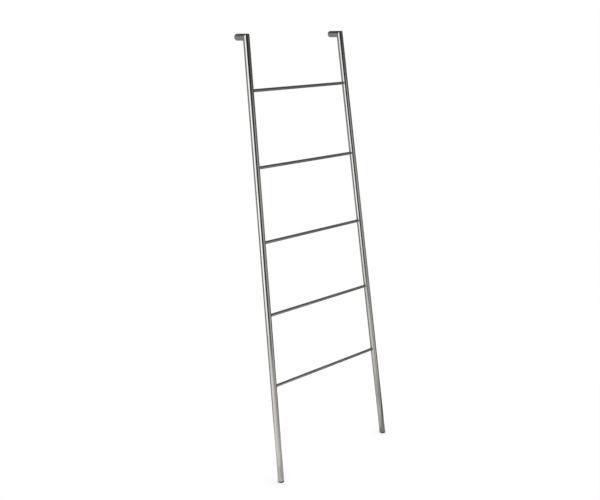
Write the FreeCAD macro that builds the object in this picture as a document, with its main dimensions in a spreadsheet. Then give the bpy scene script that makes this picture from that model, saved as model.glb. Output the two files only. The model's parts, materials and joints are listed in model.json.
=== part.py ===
import FreeCAD, Part
import os
import Sketcher
from math import pi
from FreeCAD import Vector

# Leaning towel rack: two round stiles lean back and draw together as they rise, with thin rungs
# between them. A level arm runs from the top of each stile to the wall. Rubber feet and wall
# buffers are pushed into the open ends of the tubes.
# Millimetres and degrees. +Z is up, +Y points to the wall, +X is right for someone facing the wall.
# The origin is on the floor, at the middle of the rack's outline seen from above.

driving_sizes = (
    ("overall_height", 1700, "floor to the top of the wall arms"),
    ("lean_angle", 6.5, "degrees that the stiles lean back from upright"),
    ("base_spacing", 580, "between the stiles' axes at the floor"),
    ("top_spacing", 465, "between the stiles' axes at the wall arms"),
    ("stile_diameter", 25, "outside of the stile and arm tubes"),
    ("stile_wall", 1.5, "wall of the stile and arm tubes"),
    ("arm_length", 55, "stile axis to the cut end of the arm"),
    ("arm_edge", 0.6, "bevel of the arm's cut end"),
    ("corner_radius", 4.5, "round ground on the outside of the mitred corner"),
    ("corner_skim", 0.2, "how far outside the tubes the lines run that the round is tangent to"),
    ("rung_count", 5, "rungs, evenly spread"),
    ("lowest_rung", 388, "floor to the lowest rung's axis, up the slope"),
    ("top_rung_drop", 190, "arm axis to the top rung's axis, down the slope"),
    ("rung_diameter", 12, "outside of a rung"),
    ("rung_wall", 1, "wall of a rung"),
    ("rung_entry", 3, "length of a rung's end inside the stile's bore"),
    ("rung_clearance", 0.1, "gap all round a rung in its hole"),
    ("weld_leg", 1.5, "leg of the weld round a rung's end"),
    ("foot_height", 4.5, "floor to the stile's cut end, along the stile's axis"),
    ("foot_edge", 0.8, "bevel of the sole's edge"),
    ("buffer_diameter", 23, "outside of a wall buffer's head"),
    ("buffer_height", 2, "wall to the arm's cut end"),
    ("buffer_edge", 0.6, "bevel of the buffer's face"),
    ("spigot_length", 18, "plug inside the tube, from the tube's cut end"),
    ("fin_width", 3, "thickness of a spigot's two crossed fins"),
    ("rib_count", 3, "grip ribs up a fin's edge"),
    ("rib_height", 1.4, "rib crest above the fin's edge"),
    ("rib_length", 3.5, "crest to foot of a rib's slope"),
    ("rib_pitch", 5, "from one rib to the next"),
    ("rib_clearance", 0.1, "gap between a rib's crest and the bore"),
)

# What follows from the driving sizes. The rungs and the stiles' axes lie in one leaning plane,
# and lengths called slope are measured up that plane.
worked_sizes = (
    ("arm_axis_height", "Sizes.overall_height - Sizes.stile_diameter / 2"),
    ("arm_axis_setback", "arm_axis_height * tan(Sizes.lean_angle)"),
    ("slope_length", "arm_axis_height / cos(Sizes.lean_angle)"),
    ("splay_angle", "atan((Sizes.base_spacing - Sizes.top_spacing) / 2 / slope_length)"),
    ("axis_length", "slope_length / cos(splay_angle)"),
    ("mitre_tilt", "acos(sin(Sizes.lean_angle) * cos(splay_angle)) / 2"),
    ("corner_reach", "Sizes.stile_diameter / 2 + Sizes.corner_skim"),
    ("stile_corner_turn", "atan(tan(Sizes.lean_angle) * sin(splay_angle))"),
    ("arm_corner_turn", "atan(tan(splay_angle) / cos(Sizes.lean_angle))"),
    ("bore_diameter", "Sizes.stile_diameter - 2 * Sizes.stile_wall"),
    ("rung_pitch", "(slope_length - Sizes.top_rung_drop - Sizes.lowest_rung) / (Sizes.rung_count - 1)"),
    ("hole_diameter", "Sizes.rung_diameter + 2 * Sizes.rung_clearance"),
    ("lowest_hole", "Sizes.lowest_rung / cos(splay_angle)"),
    ("hole_pitch", "rung_pitch / cos(splay_angle)"),
    ("rung_end_setback", "bore_diameter / 2 - Sizes.rung_entry"),
    ("crest_diameter", "bore_diameter - 2 * Sizes.rib_clearance"),
    ("crest_span", "sqrt(crest_diameter ^ 2 - Sizes.fin_width ^ 2)"),
    ("fin_span", "crest_span - 2 * Sizes.rib_height"),
    ("sole_reach", "Sizes.stile_diameter / 2 / cos(Sizes.lean_angle)"),
    ("front_reach", "sole_reach - Sizes.foot_edge * sin(Sizes.lean_angle)"),
    ("wall_setback", "arm_axis_setback + Sizes.arm_length + Sizes.buffer_height"),
    ("foot_line", "(front_reach - wall_setback) / 2"),
    ("cut_diameter", "4 * Sizes.stile_diameter"),
)

doc = FreeCAD.newDocument("leaning_towel_rack")
nodes = []


def fill_sheet(name, rows):
    sheet = doc.addObject("Spreadsheet::Sheet", name)
    for number, (alias, content, *meaning) in enumerate(rows, start=1):
        sheet.set(f"A{number}", alias)
        sheet.set(f"B{number}", str(content))
        sheet.setAlias(f"B{number}", alias)
        sheet.set(f"C{number}", " ".join(meaning))
    doc.recompute()
    return sheet


def new_body(label, placement):
    body = doc.addObject("PartDesign::Body", label)
    body.Label = label
    body.setExpression("Placement", placement)
    nodes.append(body)
    return body


def origin_feature(body, role):
    return next(feature for feature in body.Origin.OriginFeatures if feature.Role == role)


def circle_sketch(body, name, plane, diameters, offset=None):
    """Circles about the sketch's origin, on one of the body's own planes, moved and turned by offset."""
    sketch = body.newObject("Sketcher::SketchObject", f"{body.Name}_{name}")
    sketch.AttachmentSupport = [(origin_feature(body, plane), "")]
    sketch.MapMode = "FlatFace"
    if offset:
        sketch.setExpression("AttachmentOffset", offset)
    for diameter in diameters:
        circle = sketch.addGeometry(Part.Circle(Vector(), Vector(0, 0, 1), 1), False)
        sketch.addConstraint(Sketcher.Constraint("Coincident", circle, 3, -1, 1))
        size = sketch.addConstraint(Sketcher.Constraint("Diameter", circle, 1))
        sketch.setExpression(f"Constraints[{size}]", diameter)
    return sketch


def taper_sketch(body, name, plane, base, lower_span, upper_span, height):
    """A taper that stands on a level line at base and is even about the sketch's upright axis."""
    sketch = body.newObject("Sketcher::SketchObject", f"{body.Name}_{name}")
    sketch.AttachmentSupport = [(origin_feature(body, plane), "")]
    sketch.MapMode = "FlatFace"
    corners = (Vector(-1, 0), Vector(1, 0), Vector(1, 1), Vector(-1, 1))
    for start, end in zip(corners, corners[1:] + corners[:1]):
        sketch.addGeometry(Part.LineSegment(start, end), False)
    for line in range(4):
        sketch.addConstraint(Sketcher.Constraint("Coincident", line, 2, (line + 1) % 4, 1))
    for level_line in (0, 2):
        sketch.addConstraint(Sketcher.Constraint("Symmetric", level_line, 1, level_line, 2, -2))
    limits = (("DistanceX", (0, 1, 0, 2), lower_span), ("DistanceX", (2, 2, 2, 1), upper_span),
              ("DistanceY", (-1, 1, 0, 1), base), ("DistanceY", (0, 2, 2, 1), height))
    for kind, points, size in limits:
        number = sketch.addConstraint(Sketcher.Constraint(kind, *points, 1))
        sketch.setExpression(f"Constraints[{number}]", size)
    return sketch


def corner_sketch(body, name, offset, upward):
    """What lies outside a round between two lines, one just clear of the stile and one of the arm.

    The sketch lies in the plane of both axes, its origin where they meet and its Y along the tube.
    """
    sketch = body.newObject("Sketcher::SketchObject", f"{body.Name}_{name}")
    sketch.AttachmentSupport = [(origin_feature(body, "YZ_Plane"), "")]
    sketch.MapMode = "FlatFace"
    sketch.setExpression("AttachmentOffset", offset)
    peak, ends = Vector(-1, 1 if upward else -1), (Vector(-1, 0), Vector(0, 1 if upward else -1))
    sketch.addGeometry(Part.LineSegment(ends[0], peak), False)
    sketch.addGeometry(Part.LineSegment(peak, ends[1]), False)
    start = pi / 2 if upward else pi
    circle = Part.Circle(Vector(), Vector(0, 0, 1), 1)
    sketch.addGeometry(Part.ArcOfCircle(circle, start, start + pi / 2), False)
    near_end, far_end = (2, 1) if upward else (1, 2)
    for rule in (("Coincident", 0, 2, 1, 1), ("Vertical", 0),
                 ("Tangent", 0, 1, 2, near_end), ("Tangent", 1, 2, 2, far_end)):
        sketch.addConstraint(Sketcher.Constraint(*rule))
    opening = (0, 2, 1, 1) if upward else (1, 1, 0, 2)
    rise = (-1, 1, 0, 2) if upward else (0, 2, -1, 1)
    limits = (("Radius", (2,), 1, "Sizes.corner_radius"),
              ("DistanceX", (0, 2, -1, 1), 1, "Layout.corner_reach"),
              ("DistanceY", rise, 1, "Layout.corner_reach * tan(Layout.mitre_tilt)"),
              ("Angle", opening, pi / 2, "180 deg - 2 * Layout.mitre_tilt"))
    for kind, points, size, formula in limits:
        number = sketch.addConstraint(Sketcher.Constraint(kind, *points, size))
        sketch.setExpression(f"Constraints[{number}]", formula)
    return sketch


def add_pad(body, name, sketch, length, symmetric=False, downward=False):
    pad = body.newObject("PartDesign::Pad", f"{body.Name}_{name}")
    pad.Profile = sketch
    pad.SideType = "Symmetric" if symmetric else "One side"
    pad.Reversed = downward
    pad.setExpression("Length", length)
    doc.recompute()
    return pad


def add_pocket(body, name, sketch, length=None, forward=False, symmetric=False):
    """Cut against the sketch's normal, along it if forward, both ways if symmetric; see that it cut."""
    before = body.Shape.Volume
    pocket = body.newObject("PartDesign::Pocket", f"{body.Name}_{name}")
    pocket.Profile = sketch
    pocket.SideType = "Symmetric" if symmetric else "One side"
    pocket.Type = "Length" if length else "ThroughAll"
    pocket.Reversed = forward
    if length:
        pocket.setExpression("Length", length)
    doc.recompute()
    if not body.Shape.Volume < before:
        raise RuntimeError(f"{pocket.Name} cuts nothing")
    return pocket


def add_pattern(body, name, feature, pitch, count):
    """Repeat a feature up the body's Z axis."""
    pattern = body.newObject("PartDesign::LinearPattern", f"{body.Name}_{name}")
    pattern.Originals = [feature]
    pattern.Direction = (origin_feature(body, "Z_Axis"), [""])
    pattern.Mode = "Spacing"
    pattern.setExpression("Offset", pitch)
    pattern.setExpression("Occurrences", count)
    body.Tip = pattern
    doc.recompute()
    return pattern


def add_bevel(body, name, edges, size):
    base = body.Tip
    bevel = body.newObject("PartDesign::Chamfer", f"{body.Name}_{name}")
    bevel.Base = (base, edges)
    bevel.setExpression("Size", size)
    doc.recompute()
    return bevel


def end_rim(body, lowest):
    """Names of the outer rim of the flat face at the lower or upper end of the last feature's own Z."""
    shape = body.Tip.Shape
    flat_faces = [face for face in shape.Faces if isinstance(face.Surface, Part.Plane)]
    flat_faces.sort(key=lambda face: face.CenterOfMass.z)
    end_face = flat_faces[0] if lowest else flat_faces[-1]
    rim = end_face.OuterWire.Edges
    edges = enumerate(shape.Edges, start=1)
    return [f"Edge{number}" for number, edge in edges if any(edge.isSame(part) for part in rim)]


# Where the pieces stand. side is -1 on the left and 1 on the right.
def stile_placement(side):
    """Origin where the stile's axis meets the floor, Z up the stile, X across the rack."""
    base = f"vector({side} * Sizes.base_spacing / 2; Layout.foot_line; 0)"
    return f"placement({base}; rotationx(-Sizes.lean_angle) * rotationy({-side} * Layout.splay_angle))"


def arm_base(side, setback):
    """A point on the arm's axis, that far behind the stile's axis."""
    along = f"Layout.foot_line + Layout.arm_axis_setback + {setback}"
    return f"vector({side} * Sizes.top_spacing / 2; {along}; Layout.arm_axis_height)"


# Stiles: a tube cut square at the foot and mitred at the top, with a hole for each rung inside.
# The mitred corner is ground round on the outside, so stile and arm each lose a sliver there.
def make_stile(label, side):
    body = new_body(label, stile_placement(side))
    section = circle_sketch(body, "section", "XY_Plane", ("Sizes.stile_diameter", "Layout.bore_diameter"),
                            "placement(vector(0; 0; Sizes.foot_height); rotationx(0))")
    add_pad(body, "tube", section, "Layout.axis_length - Sizes.foot_height + Sizes.stile_diameter")

    across = f"{side} * sin(Sizes.lean_angle) * sin(Layout.splay_angle)"
    mitre_turn = f"rotation(vector(-cos(Sizes.lean_angle); {across}; 0); Layout.mitre_tilt)"
    mitre = circle_sketch(body, "mitre_plane", "XY_Plane", ("Layout.cut_diameter",),
                          f"placement(vector(0; 0; Layout.axis_length); {mitre_turn})")
    add_pocket(body, "mitre", mitre, forward=True)
    corner_turn = f"rotationy({-side} * Layout.stile_corner_turn)"
    rounding = corner_sketch(body, "corner_plane",
                             f"placement(vector(0; Layout.axis_length; 0); {corner_turn})", upward=True)
    add_pocket(body, "round_corner", rounding, symmetric=True)

    hole_turn = f"rotationx({side} * Layout.splay_angle)"
    hole = circle_sketch(body, "hole_plane", "YZ_Plane", ("Layout.hole_diameter",),
                         f"placement(vector(0; Layout.lowest_hole; 0); {hole_turn})")
    pocket = add_pocket(body, "rung_hole", hole, "Sizes.stile_diameter", forward=side < 0)
    add_pattern(body, "rung_holes", pocket, "Layout.hole_pitch", "Sizes.rung_count")


# Wall arms: a short level tube, mitred to the stile and cut square at the wall.
def make_wall_arm(label, side):
    corner = arm_base(side, 0)
    body = new_body(label, f"placement({corner}; rotationx(-90))")
    section = circle_sketch(body, "section", "XY_Plane", ("Sizes.stile_diameter", "Layout.bore_diameter"),
                            "placement(vector(0; 0; -Sizes.stile_diameter); rotationx(0))")
    add_pad(body, "tube", section, "Sizes.arm_length + Sizes.stile_diameter")

    across = f"{-side} * sin(Layout.splay_angle)"
    upright = "cos(Layout.splay_angle) * cos(Sizes.lean_angle)"
    mitre_turn = f"rotation(vector({upright}; {across}; 0); Layout.mitre_tilt)"
    mitre = circle_sketch(body, "mitre_plane", "XY_Plane", ("Layout.cut_diameter",),
                          f"placement(vector(0; 0; 0); {mitre_turn})")
    add_pocket(body, "mitre", mitre)
    corner_turn = f"rotationy({-side} * Layout.arm_corner_turn)"
    rounding = corner_sketch(body, "corner_plane",
                             f"placement(vector(0; 0; 0); {corner_turn})", upward=False)
    add_pocket(body, "round_corner", rounding, symmetric=True)
    add_bevel(body, "eased_end", end_rim(body, lowest=False), "Sizes.arm_edge")


# Rungs: level tubes whose square ends stand a little way inside the stiles' bores.
def make_rung(label, steps_up):
    slope = f"(Sizes.lowest_rung + {steps_up} * Layout.rung_pitch)"
    centre = (f"vector(0; Layout.foot_line + {slope} * sin(Sizes.lean_angle);"
              f" {slope} * cos(Sizes.lean_angle))")
    body = new_body(label, f"placement({centre}; rotationy(90))")
    section = circle_sketch(body, "section", "XY_Plane",
                            ("Sizes.rung_diameter", "Sizes.rung_diameter - 2 * Sizes.rung_wall"))
    span = f"Sizes.base_spacing - 2 * {slope} * tan(Layout.splay_angle)"
    add_pad(body, "tube", section, f"{span} - 2 * Layout.rung_end_setback", symmetric=True)


# Rung welds: what a bevel adds where a rung's outside meets the stile's outside.
def make_rung_welds(label, side):
    stile_stub = doc.addObject("Part::Cylinder", f"{label}_stile_stub")
    stile_stub.setExpression("Radius", "Sizes.stile_diameter / 2")
    stile_stub.setExpression("Height", "2 * Sizes.stile_diameter")
    stile_stub.setExpression("Placement", "placement(vector(0; 0; -Sizes.stile_diameter); rotationz(90))")
    rung_stub = doc.addObject("Part::Cylinder", f"{label}_rung_stub")
    rung_stub.setExpression("Radius", "Sizes.rung_diameter / 2")
    rung_stub.setExpression("Height", "Sizes.stile_diameter")
    rung_turn = f"rotationy({-side} * (90 deg - Layout.splay_angle))"
    rung_stub.setExpression("Placement", f"placement(vector(0; 0; 0); {rung_turn})")
    crossing = doc.addObject("Part::Fuse", f"{label}_crossing")
    crossing.Base = stile_stub
    crossing.Tool = rung_stub
    doc.recompute()
    welded = doc.addObject("Part::Chamfer", f"{label}_welded")
    welded.Base = crossing
    edges = enumerate(crossing.Shape.Edges, start=1)
    seam = [number for number, edge in edges if isinstance(edge.Curve, Part.BSplineCurve)]
    welded.Edges = [(number, sizes.weld_leg, sizes.weld_leg) for number in seam]
    bead = doc.addObject("Part::Cut", f"{label}_bead")
    bead.Base = welded
    bead.Tool = crossing
    doc.recompute()

    places = [layout.lowest_hole + step * layout.hole_pitch for step in range(rung_count)]
    welds = doc.addObject("Part::Feature", label)
    welds.Label = label
    welds.Shape = Part.makeCompound([bead.Shape.translated(Vector(0, 0, place)) for place in places])
    welds.setExpression("Placement", stile_placement(side))
    nodes.append(welds)


# Plugs: a head at the tube's cut end and a spigot of two crossed, ribbed fins in its bore.
def add_spigot(body, head_height):
    for name, plane in (("cross", "XZ_Plane"), ("long", "YZ_Plane")):
        fin = taper_sketch(body, f"{name}_fin_plane", plane, head_height,
                           "Layout.fin_span", "Layout.fin_span", "Sizes.spigot_length")
        add_pad(body, f"{name}_fin", fin, "Sizes.fin_width", symmetric=True)
        rib = taper_sketch(body, f"{name}_rib_plane", plane, f"{head_height} + Sizes.rib_length",
                           "Layout.crest_span", "Layout.fin_span", "Sizes.rib_length")
        first_rib = add_pad(body, f"{name}_rib", rib, "Sizes.fin_width", symmetric=True)
        add_pattern(body, f"{name}_ribs", first_rib, "Sizes.rib_pitch", "Sizes.rib_count")


# Feet: the head is a wedge between the stile's square end and the floor.
def make_foot(label, side):
    body = new_body(label, stile_placement(side))
    head = circle_sketch(body, "head_plane", "XY_Plane", ("Sizes.stile_diameter",),
                         "placement(vector(0; 0; Sizes.foot_height); rotationx(0))")
    add_pad(body, "head", head, "Sizes.foot_height + Sizes.stile_diameter", downward=True)
    level = f"rotationy({side} * Layout.splay_angle) * rotationx(Sizes.lean_angle)"
    floor = circle_sketch(body, "floor_plane", "XY_Plane", ("Layout.cut_diameter",),
                          f"placement(vector(0; 0; 0); {level})")
    add_pocket(body, "sole", floor)
    add_bevel(body, "sole_edge", end_rim(body, lowest=True), "Sizes.foot_edge")
    add_spigot(body, "Sizes.foot_height")


# Wall buffers: the head is a thin disc with an eased face, seated on the arm's cut end.
def make_wall_buffer(label, side):
    wall_point = arm_base(side, "Sizes.arm_length + Sizes.buffer_height")
    body = new_body(label, f"placement({wall_point}; rotationx(90))")
    head = circle_sketch(body, "head_plane", "XY_Plane", ("Sizes.buffer_diameter",))
    add_pad(body, "head", head, "Sizes.buffer_height")
    add_bevel(body, "face_edge", end_rim(body, lowest=True), "Sizes.buffer_edge")
    add_spigot(body, "Sizes.buffer_height")


sizes = fill_sheet("Sizes", driving_sizes)
layout = fill_sheet("Layout", [(alias, "=" + formula) for alias, formula in worked_sizes])
rung_count = int(sizes.rung_count)

for side_name, side in (("left", -1), ("right", 1)):
    make_stile(f"{side_name}_stile", side)
    make_wall_arm(f"{side_name}_wall_arm", side)
    make_rung_welds(f"{side_name}_rung_welds", side)
    make_foot(f"{side_name}_foot", side)
    make_wall_buffer(f"{side_name}_wall_buffer", side)
for rung in range(1, rung_count + 1):
    make_rung(f"rung_{rung}", rung_count - rung)
doc.recompute()

failed = [thing.Label for thing in doc.Objects if "Invalid" in thing.State or "Error" in thing.State]
failed += [node.Label for node in nodes if node.Shape.isNull() or not node.Shape.isValid()]
if failed:
    raise RuntimeError("failed: " + ", ".join(failed))
os.makedirs("parts", exist_ok=True)
for node in nodes:
    node.Shape.exportStep(f"parts/{node.Label}.step")
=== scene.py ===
import json
from math import cos, pi, radians, sin, sqrt
import bmesh
import bpy
from mathutils import Matrix, Vector


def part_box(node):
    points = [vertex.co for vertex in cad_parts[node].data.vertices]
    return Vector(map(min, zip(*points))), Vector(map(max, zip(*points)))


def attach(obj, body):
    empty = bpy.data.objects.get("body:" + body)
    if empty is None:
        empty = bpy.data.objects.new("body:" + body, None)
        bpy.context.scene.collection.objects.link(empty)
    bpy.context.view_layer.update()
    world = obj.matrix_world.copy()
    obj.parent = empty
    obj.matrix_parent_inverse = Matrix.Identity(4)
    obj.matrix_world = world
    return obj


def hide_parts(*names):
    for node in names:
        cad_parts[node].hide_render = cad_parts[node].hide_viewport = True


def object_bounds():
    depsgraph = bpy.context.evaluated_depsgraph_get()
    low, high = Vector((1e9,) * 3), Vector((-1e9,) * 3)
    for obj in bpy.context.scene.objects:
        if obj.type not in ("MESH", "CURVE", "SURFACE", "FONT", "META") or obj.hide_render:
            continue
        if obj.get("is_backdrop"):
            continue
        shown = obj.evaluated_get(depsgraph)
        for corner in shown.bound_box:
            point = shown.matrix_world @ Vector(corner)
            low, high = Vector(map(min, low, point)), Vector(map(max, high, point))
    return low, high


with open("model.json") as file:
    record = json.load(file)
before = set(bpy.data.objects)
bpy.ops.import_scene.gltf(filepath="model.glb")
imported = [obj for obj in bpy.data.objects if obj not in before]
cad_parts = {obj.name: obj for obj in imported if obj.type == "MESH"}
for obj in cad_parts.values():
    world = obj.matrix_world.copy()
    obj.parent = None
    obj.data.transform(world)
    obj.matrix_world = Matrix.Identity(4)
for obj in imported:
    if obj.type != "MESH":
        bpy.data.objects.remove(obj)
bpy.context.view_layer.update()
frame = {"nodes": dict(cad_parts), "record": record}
scene = bpy.context.scene
scene.view_settings.view_transform = "Standard"

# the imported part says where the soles, wall faces and rungs are
places = {mount["name"]: Vector(mount["pos_m"]) for mount in frame["record"]["mounts"]}
sides = {"left": 1, "right": -1}               # which way along X is inward
rungNames = sorted(name for name in frame["nodes"] if name.startswith("rung_"))
rungCentres = [places[name + "_bar"] for name in rungNames]
rise = (rungCentres[0] - rungCentres[-1]).normalized()  # up the leaning plane
toWall = Vector((0, 1, 0))
acrossRack = Vector((1, 0, 0))
squareCut = Vector((0, 0, 1))
print("rack loaded,", len(frame["nodes"]), "CAD nodes,", len(rungNames), "rungs")


# where the axes of stile and arm meet
def stileCorner(side):
    foot, wallFace = places[side + "_foot_sole"], places[side + "_wall_face"]
    return Vector((wallFace.x, foot.y + rise.y / rise.z * wallFace.z, wallFace.z))


def stileAlong(side):
    return (stileCorner(side) - places[side + "_foot_sole"]).normalized()


# a frame with Z along a tube
def tubeFrame(start, along):
    across = toWall if abs(along.x) > abs(along.z) else acrossRack
    across = (across - along * across.dot(along)).normalized()
    turn = Matrix((across, along.cross(across), along)).transposed()
    return Matrix.Translation(start) @ turn.to_4x4()


nodeGap = 220                                  # nodes stand in a row in the shader editor


# small tools for node trees
def addNode(tree, kind, **values):
    node = tree.nodes.new(kind)
    node.location = (nodeGap * len(tree.nodes), 0)
    for key, value in values.items():
        if hasattr(node, key):
            setattr(node, key, value)
        else:
            node.inputs[key].default_value = value
    return node


def newMaterial(name):
    material = bpy.data.materials.new(name)
    material.use_nodes = True
    material.node_tree.nodes.clear()
    return material, material.node_tree


def toneRamp(tree, span, tones):
    ramp = addNode(tree, "ShaderNodeValToRGB")
    for element, position, tone in zip(ramp.color_ramp.elements, span, tones):
        element.position = position
        element.color = (*tone, 1)
    return ramp


def mapSpan(tree, fromSpan, toSpan, ease="LINEAR"):
    spread = addNode(tree, "ShaderNodeMapRange", interpolation_type=ease)
    sockets = ("From Min", "From Max", "To Min", "To Max")
    for socket, value in zip(sockets, (*fromSpan, *toSpan)):
        spread.inputs[socket].default_value = value
    return spread


# steel and rubber alike: the shades drive tone and gloss, the relief drives the bump
def finishSurface(tree, look, shades, relief):
    out = addNode(tree, "ShaderNodeOutputMaterial")
    shader = addNode(tree, "ShaderNodeBsdfPrincipled", Metallic=look["metallic"])
    tone = toneRamp(tree, look["toneSpan"], (look["dark"], look["light"]))
    gloss = mapSpan(tree, look["glossSpan"], look["rough"])
    bump = addNode(tree, "ShaderNodeBump", Strength=look["bump"], Distance=look["bumpHeight"])
    link = tree.links.new
    link(shades, tone.inputs["Fac"])
    link(shades, gloss.inputs["Value"])
    link(relief, bump.inputs["Height"])
    link(tone.outputs["Color"], shader.inputs["Base Color"])
    link(gloss.outputs["Result"], shader.inputs["Roughness"])
    link(bump.outputs["Normal"], shader.inputs["Normal"])
    link(shader.outputs["BSDF"], out.inputs["Surface"])


# satin stainless steel, its grain along the tube
steelLook = {
    "grain": {"across": 1800, "along": 9, "detail": 3.0, "roughness": 0.6},  # strokes per metre
    "blotches": {"across": 110, "along": 7, "detail": 4.0, "roughness": 0.55},
    "blotchShare": 0.6,
    "surface": {"metallic": 1.0, "toneSpan": (0.3, 0.7), "glossSpan": (0.3, 0.7), "bumpHeight": 0.0001},
    "tube": {
        "dark": (0.47, 0.462, 0.448), "light": (0.57, 0.562, 0.548),
        "rough": (0.15, 0.22), "bump": 0.03,
    },
    "rung": {
        "dark": (0.40, 0.395, 0.388), "light": (0.48, 0.475, 0.467),
        "rough": (0.18, 0.28), "bump": 0.03,
    },
    "weld": {
        "dark": (0.36, 0.345, 0.325), "light": (0.48, 0.47, 0.45),
        "rough": (0.24, 0.42), "bump": 0.12,
    },
}


def stretchedNoise(tree, source, look):
    stretch = addNode(tree, "ShaderNodeMapping", Scale=(look["across"], look["across"], look["along"]))
    noise = addNode(tree, "ShaderNodeTexNoise", Scale=1.0, Detail=look["detail"], Roughness=look["roughness"])
    tree.links.new(source, stretch.inputs["Vector"])
    tree.links.new(stretch.outputs["Vector"], noise.inputs["Vector"])
    return noise.outputs["Fac"]


def satinSteel(name, kind, along):
    material, tree = newMaterial(name)
    place = addNode(tree, "ShaderNodeTexCoord")
    lay = addNode(tree, "ShaderNodeMapping", Rotation=tubeFrame(Vector(), along).inverted().to_euler())
    tree.links.new(place.outputs["Object"], lay.inputs["Vector"])
    grain = stretchedNoise(tree, lay.outputs["Vector"], steelLook["grain"])
    blotches = stretchedNoise(tree, lay.outputs["Vector"], steelLook["blotches"])
    both = addNode(tree, "ShaderNodeMix", data_type="FLOAT", Factor=steelLook["blotchShare"])
    tree.links.new(grain, both.inputs["A"])
    tree.links.new(blotches, both.inputs["B"])
    look = {**steelLook["surface"], **steelLook[kind]}
    finishSurface(tree, look, both.outputs["Result"], grain)
    return material


# moulded black rubber, finely pitted and a little dusty
rubberLook = {
    "dark": (0.012, 0.012, 0.013), "light": (0.035, 0.034, 0.034),
    "rough": (0.55, 0.78), "metallic": 0.0,
    "toneSpan": (0.35, 0.75), "glossSpan": (0.0, 1.0),
    "pits": 2200, "pitDetail": 2.0,            # specks per metre
    "dust": 140, "dustDetail": 4.0,
    "bump": 0.25, "bumpHeight": 0.0002,
}


def mouldedRubber(name, look):
    material, tree = newMaterial(name)
    place = addNode(tree, "ShaderNodeTexCoord")
    pits = addNode(tree, "ShaderNodeTexNoise", Scale=look["pits"], Detail=look["pitDetail"])
    dust = addNode(tree, "ShaderNodeTexNoise", Scale=look["dust"], Detail=look["dustDetail"])
    for noise in (pits, dust):
        tree.links.new(place.outputs["Object"], noise.inputs["Vector"])
    finishSurface(tree, look, dust.outputs["Fac"], pits.outputs["Fac"])
    return material


stileSteel = {side: satinSteel(side + "StileSteel", "tube", stileAlong(side)) for side in sides}
armSteel = satinSteel("armSteel", "tube", toWall)
rungSteel = satinSteel("rungSteel", "rung", acrossRack)
weldSteel = satinSteel("weldSteel", "weld", acrossRack)
blackRubber = mouldedRubber("blackRubber", rubberLook)
print("materials made")


# tubes are swept ring by ring, a ring is a radius, a height and the direction of its cut
def ringPoint(row, angle):
    radius, height, cut = row
    x, y = radius * cos(angle), radius * sin(angle)
    return Vector((x, y, height - (cut.x * x + cut.y * y) / cut.z))  # where the wall's line meets the cut


def sweepTube(name, place, rows, segments):
    mesh = bpy.data.meshes.new(name)
    points = [place @ ringPoint(row, 2 * pi * step / segments) for row in rows for step in range(segments)]
    faces = []
    for number in range(len(rows)):
        low, high = number * segments, (number + 1) % len(rows) * segments
        for step in range(segments):
            beside = (step + 1) % segments
            faces.append((low + step, low + beside, high + beside, high + step))
    mesh.from_pydata(points, [], faces)
    mesh.update()
    return mesh


tubeSharpAngle = 32                            # degrees, edges past it stay sharp


def softShade(mesh, sharpAngle=tubeSharpAngle):
    mesh.polygons.foreach_set("use_smooth", [True] * len(mesh.polygons))
    mesh.set_sharp_from_angle(angle=radians(sharpAngle))


def addObject(name, mesh, material):
    mesh.materials.append(material)
    thing = bpy.data.objects.new(name, mesh)
    scene.collection.objects.link(thing)
    return thing


def placePiece(name, mesh, material, node):
    piece = addObject(name, mesh, material)
    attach(piece, "root")
    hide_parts(node)
    return piece


# stiles: mitred at the top, drilled on the inner side for the rungs
stile = {
    "radius": 0.0125, "wall": 0.0015, "segments": 80,
    "footHeight": 0.0045,                      # floor to the cut end, along the tube
    "holeRadius": 0.0061, "holeSegments": 48, "holeBand": 0.011,
    "mitreBand": 0.03,
    "cornerRadius": 0.0045, "cornerSkim": 0.0002,  # the round that is ground on the mitred corner
    "cornerBand": 0.0048, "cornerSteps": 10,
}


# the mitre's direction in a tube's own frame
def mitreCut(place, along):
    return (place.to_3x3().inverted() @ (along + toWall)).normalized()


# rows that follow the mitre, close together where the corner is ground
def mitreRows(radius, height, cut, towards):
    steps = stile["cornerSteps"]
    return [(radius, height + towards * stile["cornerBand"] * step / steps, cut) for step in range(steps + 1)]


def grindCorner(mesh, corner, along):
    outward = (along - toWall).normalized()
    across = along.cross(toWall).normalized()
    spread = cos(along.angle(toWall) / 2)
    radius = stile["cornerRadius"]
    pivot = corner + outward * (stile["radius"] + stile["cornerSkim"] - radius) / spread
    for vertex in mesh.vertices:
        spoke = vertex.co - pivot
        spoke -= across * spoke.dot(across)
        if spoke.length > radius and spoke.dot(outward) > spoke.length * spread:
            vertex.co -= spoke * (1 - radius / spoke.length)
    mesh.update()


def drillHoles(piece, foot, along, inward):
    drill = bmesh.new()
    reach = 2 * stile["radius"]                # from the axis to well past the wall
    for centre in rungCentres:
        start = Vector((foot.x + along.x / along.z * centre.z, centre.y, centre.z))
        bmesh.ops.create_cone(
            drill, cap_ends=True, segments=stile["holeSegments"], depth=reach,
            radius1=stile["holeRadius"], radius2=stile["holeRadius"],
            matrix=tubeFrame(start + inward * reach / 2, inward))
    drillMesh = bpy.data.meshes.new("rungDrill")
    drill.to_mesh(drillMesh)
    drill.free()
    drillBit = bpy.data.objects.new("rungDrill", drillMesh)
    scene.collection.objects.link(drillBit)
    cut = piece.modifiers.new("rungHoles", "BOOLEAN")
    cut.operation, cut.solver, cut.object = "DIFFERENCE", "EXACT", drillBit
    bpy.context.view_layer.update()
    drilled = bpy.data.meshes.new_from_object(piece.evaluated_get(bpy.context.evaluated_depsgraph_get()))
    piece.modifiers.clear()
    piece.data = drilled
    bpy.data.objects.remove(drillBit)
    softShade(drilled)


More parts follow.
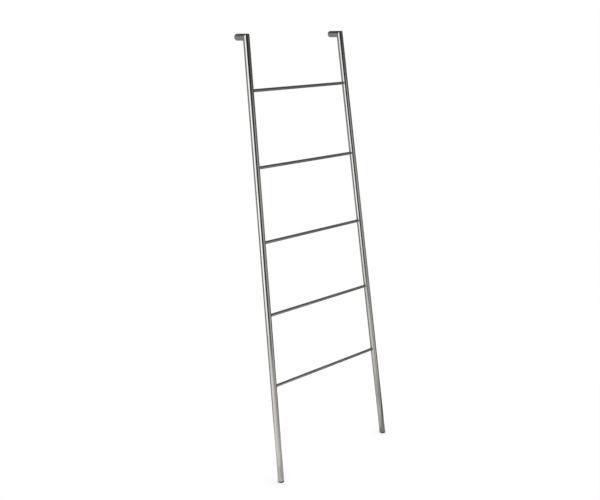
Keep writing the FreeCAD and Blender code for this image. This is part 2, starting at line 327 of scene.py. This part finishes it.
for side, inward in sides.items():
    foot, corner, along = places[side + "_foot_sole"], stileCorner(side), stileAlong(side)
    length = (corner - foot).length
    place = tubeFrame(foot, along)
    mitre = mitreCut(place, along)
    outer, bore = stile["radius"], stile["radius"] - stile["wall"]
    bands = [centre.z / along.z + shift for centre in reversed(rungCentres)
             for shift in (-stile["holeBand"], stile["holeBand"])]
    heights = [stile["footHeight"], *bands, length - stile["mitreBand"]]
    rows = [(outer, height, squareCut) for height in heights]
    rows += reversed(mitreRows(outer, length, mitre, -1))
    rows += [(bore, length, mitre)] + [(bore, height, squareCut) for height in reversed(heights)]
    title = side + "StileTube"
    mesh = sweepTube(title, place, rows, stile["segments"])
    grindCorner(mesh, corner, along)
    tube = placePiece(title, mesh, stileSteel[side], side + "_stile")
    drillHoles(tube, foot, along, inward * acrossRack)
print("stiles swept and drilled")


# wall arms: mitred to the stiles, the cut end eased
wallArm = {"endEdge": 0.0006, "edgeSteps": 5, "bufferHeight": 0.002, "mitreBand": 0.03}
for side in sides:
    corner, along = stileCorner(side), stileAlong(side)
    place = tubeFrame(corner, toWall)
    mitre = mitreCut(place, along)
    length = places[side + "_wall_face"].y - wallArm["bufferHeight"] - corner.y
    outer, bore, edge = stile["radius"], stile["radius"] - stile["wall"], wallArm["endEdge"]
    rows = mitreRows(outer, 0, mitre, 1) + [(outer, wallArm["mitreBand"], squareCut)]
    for step in range(wallArm["edgeSteps"] + 1):
        turn = pi / 2 * step / wallArm["edgeSteps"]
        rows.append((outer - edge + edge * cos(turn), length - edge + edge * sin(turn), squareCut))
    rows += [(bore, length, squareCut), (bore, wallArm["mitreBand"], squareCut), (bore, 0, mitre)]
    title = side + "WallArmTube"
    mesh = sweepTube(title, place, rows, stile["segments"])
    grindCorner(mesh, corner, along)
    softShade(mesh)
    placePiece(title, mesh, armSteel, side + "_wall_arm")
print("wall arms swept")


# rungs: thin tubes with eased ends inside the stiles
rung = {"wall": 0.001, "endEdge": 0.0003, "segments": 56}
for name in rungNames:
    low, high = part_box(name)
    half, outer, edge = (high.x - low.x) / 2, (high.z - low.z) / 2, rung["endEdge"]
    bore = outer - rung["wall"]
    rows = [(outer - edge, -half), (outer, edge - half), (outer, half - edge), (outer - edge, half)]
    rows += [(bore, half), (bore, -half)]
    title = "rungTube" + name[-1]
    place = tubeFrame((low + high) / 2, acrossRack)
    mesh = sweepTube(title, place, [(*row, squareCut) for row in rows], rung["segments"])
    softShade(mesh)
    placePiece(title, mesh, rungSteel, name)
print("rungs swept")


# rung welds: a rippled bead on the saddle between each rung and its stile
bead = {
    "leg": 0.0015, "crown": 0.00014,
    "ripples": 22, "rippleDepth": 0.5,
    "steps": 132, "faceSteps": 5, "sharpAngle": 50,
}


# where a line along the rung, at this radius and angle, meets the stile
def saddlePoint(foot, along, centre, radius, angle, inward):
    start = Vector((0, centre.y, centre.z)) + radius * Vector((0, cos(angle), sin(angle)))
    line = start - foot
    flat = line - along * line.dot(along)
    run = acrossRack - along * along.x
    a, b, c = run.dot(run), 2 * run.dot(flat), flat.dot(flat) - stile["radius"] ** 2
    x = (-b + inward * sqrt(b * b - 4 * a * c)) / (2 * a)
    return start + acrossRack * x


def addBead(build, foot, along, centre, inward, rungRadius):
    leg, rows = bead["leg"], []
    for step in range(bead["steps"]):
        angle = 2 * pi * step / bead["steps"]
        root = saddlePoint(foot, along, centre, rungRadius, angle, inward)
        rungToe = root + acrossRack * inward * leg
        stileToe = saddlePoint(foot, along, centre, rungRadius + leg, angle, inward)
        swell = ((rungToe + stileToe) / 2 - root).normalized()
        phase = bead["ripples"] * step / bead["steps"] % 1
        height = bead["crown"] * (1 - bead["rippleDepth"] * phase ** 2)  # each ripple laps the one before
        row = [root, rungToe]
        for part in range(1, bead["faceSteps"]):
            share = part / bead["faceSteps"]
            bulge = 4 * share * (1 - share)    # an arch, 1 at mid-face
            row.append(rungToe.lerp(stileToe, share) + swell * height * bulge)
        row.append(stileToe)
        rows.append([build.verts.new(point) for point in row])
    for one, two in zip(rows, rows[1:] + rows[:1]):
        for number in range(len(one)):
            after = (number + 1) % len(one)
            build.faces.new((one[number], one[after], two[after], two[number]))


def meshFrom(build, name):
    mesh = bpy.data.meshes.new(name)
    build.to_mesh(mesh)
    build.free()
    return mesh


for side, inward in sides.items():
    build = bmesh.new()
    for name, centre in zip(rungNames, rungCentres):
        low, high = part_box(name)
        addBead(build, places[side + "_foot_sole"], stileAlong(side), centre, inward, (high.z - low.z) / 2)
    bmesh.ops.recalc_face_normals(build, faces=build.faces[:])
    title = side + "RungBeads"
    mesh = meshFrom(build, title)
    softShade(mesh, bead["sharpAngle"])
    placePiece(title, mesh, weldSteel, side + "_rung_welds")
print("weld beads laid")

for side in sides:
    for node in (side + "_foot", side + "_wall_buffer"):
        mesh = frame["nodes"][node].data
        mesh.materials.clear()
        mesh.materials.append(blackRubber)
print("rubber set")


# studio: pale floor, one wide soft light on the left, cards and sheets that only the metal sees, glowing as
# painted light and painted shade for its reflections
white = (1, 1, 1)
studio = {
    "cardRadius": 2.9, "cardTop": 3.4,
    "cards": {                                 # turn from straight ahead, heights, tone (glow strength: painted light and painted shade)
        "rimCard": (118, 138, 0.0, 2.4, 0.90),
        "backCard": (138, 235, 0.0, 2.4, 0.40),
        "backFlag": (130, 235, 2.4, 3.4, 0.20),
        "leftCard": (-125, -104, 0.0, 3.4, 0.20),
        "boxCard": (-104, -64, 0.0, 2.4, 0.60),
        "boxEdge": (-64, -54, 0.0, 1.85, 1.20),
        "boxTip": (-64, -59.5, 1.85, 2.4, 1.20),
        "tipFlag": (-59.5, -54, 1.85, 2.4, 0.04),
        "boxFlag": (-104, -54, 2.4, 3.4, 0.08),
        "frontFlag": (-54, -4, 0.0, 3.4, 0.04),
        "fillCard": (-4, 32, 0.0, 1.85, 0.60),
        "fillFlag": (-4, 32, 1.85, 2.4, 0.08),
        "midCard": (32, 62, 0.5, 1.2, 0.35),
        "lowCard": (32, 44, 0.0, 0.5, 0.45),
        "lowFlag": (44, 62, 0.0, 0.5, 0.35),
        "rightCard": (62, 118, 0.0, 1.2, 0.25),
        "rightFlag": (32, 118, 1.2, 2.4, 0.15),
        "upperFlag": (-4, 57, 2.4, 3.4, 0.08),
        "upperCard": (57, 130, 2.4, 3.4, 0.30),
    },
    "sheets": {                                # turn, reach from the middle, tone (glow strength: painted light and painted shade on the floor)
        "toeSheet": (-150, -62, 0.0, 0.5, 0.80),
        "footSheet": (-62, -8, 0.0, 0.5, 0.60),
        "midSheet": (-8, 30, 0.0, 0.3, 0.90),
        "shadeSheet": (-8, 30, 0.3, 0.5, 0.60),
        "underSheet": (30, 210, 0.0, 0.26, 0.70),
        "heelSheet": (30, 210, 0.26, 0.5, 0.35),
        "rimSheet": (118, 138, 0.5, 2.9, 0.80),
        "backSheet": (138, 250, 0.5, 2.9, 0.35),
        "keySheet": (-110, -62, 0.5, 2.9, 1.15),
        "frontSheet": (-62, -22, 0.5, 2.9, 1.00),
        "stepSheet": (-22, 14, 0.5, 2.9, 0.50),
        "dimSheet": (14, 22, 0.5, 1.05, 0.45),
        "nearSheet": (22, 30, 0.5, 1.05, 1.05),
        "sideSheet": (14, 45, 1.05, 2.9, 0.80),
        "innerSheet": (30, 118, 0.5, 1.05, 0.15),
        "rightSheet": (45, 118, 1.05, 2.9, 0.10),
    },
    "sheetHeight": 0.002,
    "paperTint": (1.0, 0.98, 0.955),
    # the ceiling flag's dark glow is painted shade
    "ceiling": 0.08,
    "ceilingDrop": 0.01,                       # from the ceiling down to what hangs there
    "overheadCard": {"radius": 0.9, "tone": 0.7},  # painted light for what looks straight up
    "ceilingSheets": {
        "armSheet": (-75, 40, 0.9, 2.9, 0.40),  # painted light for the arms seen from behind
        "rungSheet": (55, 80, 2.3, 2.9, 0.40),  # painted light for the top of the lowest rung
    },
    "turnStep": 4, "fewestSteps": 2,           # how finely cards and sheets are bent
    "discSegments": 96, "joinWithin": 0.0001,
    "softBox": {"turn": -84, "distance": 2.5, "size": (1.8, 2.3), "height": 1.25, "glow": 1.3},
    "topLight": {"spot": (0.8, 0.2, 3.0), "size": 3.0, "power": 60},
    "ambient": 0.5, "backdrop": 1.0,
}


def glowMaterial(name, tone, tint=white):
    material, tree = newMaterial(name)
    out = addNode(tree, "ShaderNodeOutputMaterial")
    glow = addNode(tree, "ShaderNodeEmission", Strength=1.0, Color=(*(tone * part for part in tint), 1))
    tree.links.new(glow.outputs["Emission"], out.inputs["Surface"])
    return material


# 1 for rays from the camera, metal or glass, 0 for the rest
def shownRays(tree):
    rays = addNode(tree, "ShaderNodeLightPath")
    first = addNode(tree, "ShaderNodeMath", operation="MAXIMUM")
    second = addNode(tree, "ShaderNodeMath", operation="MAXIMUM")
    tree.links.new(rays.outputs["Is Camera Ray"], first.inputs[0])
    tree.links.new(rays.outputs["Is Glossy Ray"], first.inputs[1])
    tree.links.new(first.outputs["Value"], second.inputs[0])
    tree.links.new(rays.outputs["Is Transmission Ray"], second.inputs[1])
    return second.outputs["Value"]


def onlyInMetal(card):
    card.visible_camera = False
    card.visible_diffuse = False
    card.visible_shadow = False
    card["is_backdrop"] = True


# a band that turns about the middle of the floor, each edge a reach and a height
def bandMesh(name, startTurn, endTurn, edges):
    build = bmesh.new()
    steps = max(studio["fewestSteps"], int((endTurn - startTurn) / studio["turnStep"]))
    columns = []
    for step in range(steps + 1):
        turn = radians(startTurn + (endTurn - startTurn) * step / steps)
        x, y = sin(turn), -cos(turn)
        columns.append([build.verts.new((x * reach, y * reach, height)) for reach, height in edges])
    for one, two in zip(columns, columns[1:]):
        build.faces.new((one[0], two[0], two[1], one[1]))
    bmesh.ops.remove_doubles(build, verts=build.verts[:], dist=studio["joinWithin"])
    return meshFrom(build, name)


# a standing card that glows for the metal only: painted light and painted shade
def standCard(name, startTurn, endTurn, low, high, tone):
    mesh = bandMesh(name, startTurn, endTurn, ((studio["cardRadius"], low), (studio["cardRadius"], high)))
    onlyInMetal(addObject(name, mesh, glowMaterial(name + "Cloth", tone)))


# a flat sheet that glows for the metal only: painted light and painted shade
def laySheet(name, startTurn, endTurn, near, far, tone, height, tint):
    mesh = bandMesh(name, startTurn, endTurn, ((far, height), (near, height)))
    onlyInMetal(addObject(name, mesh, glowMaterial(name + "Paper", tone, tint)))


def layDisc(name, radius, height, material):
    build = bmesh.new()
    lift = Matrix.Translation((0, 0, height))
    bmesh.ops.create_circle(build, cap_ends=True, segments=studio["discSegments"], radius=radius, matrix=lift)
    return addObject(name, meshFrom(build, name), material)


# floor paper: keeps the rack's shadow near the middle and fades to plain white
floorLook = {
    "radius": 2.4,
    "bounce": 0.8,                             # how pale it is to scattered light
    "fade": (0.5, 1.5),                        # metres from the middle
    "shade": (0.6, 0.0), "glow": (0.44, 1.0),  # at the start and end of the fade
}


def floorPaper(look):
    material, tree = newMaterial("floorPaper")
    out = addNode(tree, "ShaderNodeOutputMaterial")
    mix = addNode(tree, "ShaderNodeMixShader")
    plain = addNode(tree, "ShaderNodeBsdfDiffuse", Color=(look["bounce"], look["bounce"], look["bounce"], 1))
    shaded = addNode(tree, "ShaderNodeBsdfDiffuse")
    lit = addNode(tree, "ShaderNodeEmission")
    both = addNode(tree, "ShaderNodeAddShader")
    place = addNode(tree, "ShaderNodeTexCoord")
    away = addNode(tree, "ShaderNodeVectorMath", operation="LENGTH")
    glow = mapSpan(tree, look["fade"], look["glow"], "SMOOTHSTEP")
    shade = mapSpan(tree, look["fade"], look["shade"], "SMOOTHSTEP")
    link = tree.links.new
    link(place.outputs["Object"], away.inputs[0])
    link(away.outputs["Value"], glow.inputs["Value"])
    link(away.outputs["Value"], shade.inputs["Value"])
    link(shade.outputs["Result"], shaded.inputs["Color"])
    link(glow.outputs["Result"], lit.inputs["Strength"])
    link(shaded.outputs["BSDF"], both.inputs[0])
    link(lit.outputs["Emission"], both.inputs[1])
    link(shownRays(tree), mix.inputs["Fac"])
    link(plain.outputs["BSDF"], mix.inputs[1])
    link(both.outputs["Shader"], mix.inputs[2])
    link(mix.outputs["Shader"], out.inputs["Surface"])
    return material


floor = layDisc("paperFloor", floorLook["radius"], 0, floorPaper(floorLook))
floor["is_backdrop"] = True
for name, card in studio["cards"].items():
    standCard(name, *card)
for name, sheet in studio["sheets"].items():
    laySheet(name, *sheet, studio["sheetHeight"], studio["paperTint"])
# the ceiling flag glows dark as painted shade; the overhead card and ceiling sheets glow as painted light
ceilingCloth = glowMaterial("ceilingCloth", studio["ceiling"])
onlyInMetal(layDisc("ceilingFlag", studio["cardRadius"], studio["cardTop"], ceilingCloth))
underCeiling = studio["cardTop"] - studio["ceilingDrop"]
overhead = studio["overheadCard"]
overheadCloth = glowMaterial("overheadCloth", overhead["tone"])
onlyInMetal(layDisc("overheadCard", overhead["radius"], underCeiling, overheadCloth))
for name, sheet in studio["ceilingSheets"].items():
    laySheet(name, *sheet, underCeiling, white)

# room: dim light all round, white where it is seen
world = bpy.data.worlds.new("studioRoom")
scene.world = world
world.use_nodes = True
tree = world.node_tree
tree.nodes.clear()
out = addNode(tree, "ShaderNodeOutputWorld")
mix = addNode(tree, "ShaderNodeMixShader")
dim = addNode(tree, "ShaderNodeBackground", Color=(*white, 1), Strength=studio["ambient"])
bright = addNode(tree, "ShaderNodeBackground", Color=(*white, 1), Strength=studio["backdrop"])
tree.links.new(shownRays(tree), mix.inputs["Fac"])
tree.links.new(dim.outputs["Background"], mix.inputs[1])
tree.links.new(bright.outputs["Background"], mix.inputs[2])
tree.links.new(mix.outputs["Shader"], out.inputs["Surface"])


def hangLight(name, spot, target, size, power):
    lamp = bpy.data.lights.new(name, "AREA")
    lamp.shape = "RECTANGLE"
    lamp.size, lamp.size_y = size
    lamp.energy = power
    light = bpy.data.objects.new(name, lamp)
    scene.collection.objects.link(light)
    light.location = spot
    light.rotation_euler = (Vector(target) - Vector(spot)).to_track_quat("-Z", "Y").to_euler()
    return light


box = studio["softBox"]
turn = radians(box["turn"])
spot = (box["distance"] * sin(turn), -box["distance"] * cos(turn), box["height"])
width, height = box["size"]
hangLight("softBox", spot, (0, 0, box["height"]), box["size"], box["glow"] * pi * width * height)
top = studio["topLight"]
topLight = hangLight("topLight", top["spot"], (0, 0, 0), (top["size"], top["size"]), top["power"])
topLight.visible_glossy = False
print("studio set")

# camera at the photograph's viewing angle
view = {
    "spot": (-2.0652, -2.3041, 1.7289),
    "turn": -40.989, "tilt": 74.38, "roll": -1.22,  # degrees
    "lens": 48.49, "sensor": 36,               # millimetres
}
eye = bpy.data.cameras.new("viewCamera")
eye.sensor_width, eye.lens = view["sensor"], view["lens"]
camera = bpy.data.objects.new("viewCamera", eye)
scene.collection.objects.link(camera)
camera.location = view["spot"]
turned = Matrix.Rotation(radians(view["turn"]), 3, "Z")
tilted = Matrix.Rotation(radians(view["tilt"]), 3, "X")
rolled = Matrix.Rotation(radians(view["roll"]), 3, "Z")
camera.rotation_euler = (turned @ tilted @ rolled).to_euler()
scene.camera = camera

low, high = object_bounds()
